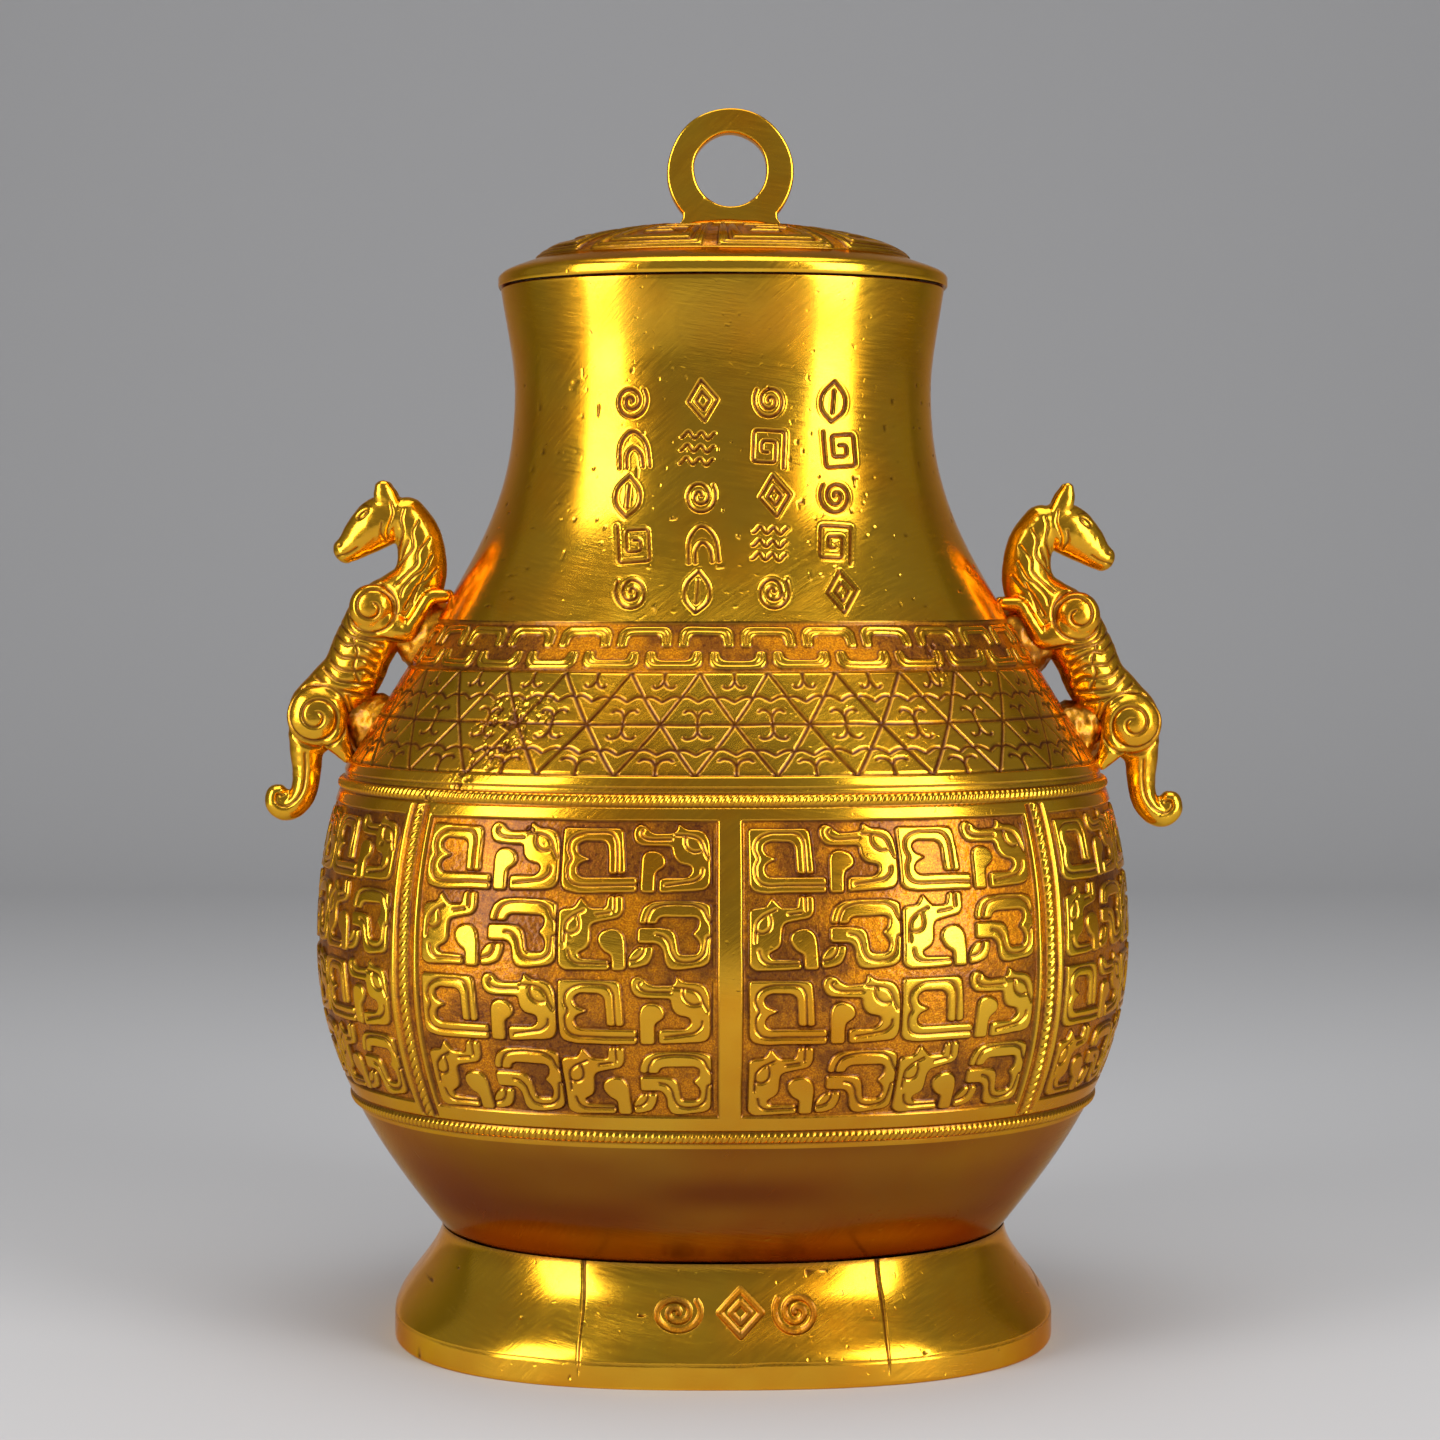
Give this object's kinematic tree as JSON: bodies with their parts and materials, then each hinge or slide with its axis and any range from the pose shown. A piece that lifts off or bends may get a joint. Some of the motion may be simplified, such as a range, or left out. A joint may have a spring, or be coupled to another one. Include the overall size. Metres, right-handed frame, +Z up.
{
  "type": "lidded bottle",
  "caption": "Gilt bronze bottle of rounded square section with a pear-shaped body, a flared foot, climbing beasts as handles and a lift-off domed lid with a flat ring.",
  "frame": {"origin": "middle of the foot's flat base, on the surface that the bottle stands on", "axes": "+Z up through the mouth and the lid, +X towards the right handle, -Y towards the front face"},
  "size_m": [0.2411, 0.1936, 0.3166],
  "materials": {
    "gilt_body": "burnished gilding, worn and brushed, darker in the recesses",
    "gilt_pale": "polished gilding",
    "gilt_dark": "thin gilding over reddish bronze"
  },
  "bodies": {
    "vessel": {"vessel_body": "gilt_body", "foot_ring": "gilt_body", "handle_left": "gilt_pale", "handle_right": "gilt_pale", "upper_rove_left": "gilt_dark", "lower_rove_left": "gilt_dark", "upper_rove_right": "gilt_dark", "lower_rove_right": "gilt_dark"},
    "lid": {"lid_cover": "gilt_body", "lid_collar": "gilt_dark", "lid_ring": "gilt_pale", "ring_rove": "gilt_dark"}
  },
  "joints": [
    {"name": "lid_lift", "type": "slide", "parent": "vessel", "child": "lid", "axis": [0, 0, 1], "range_m": [0, 0.12]}
  ]
}
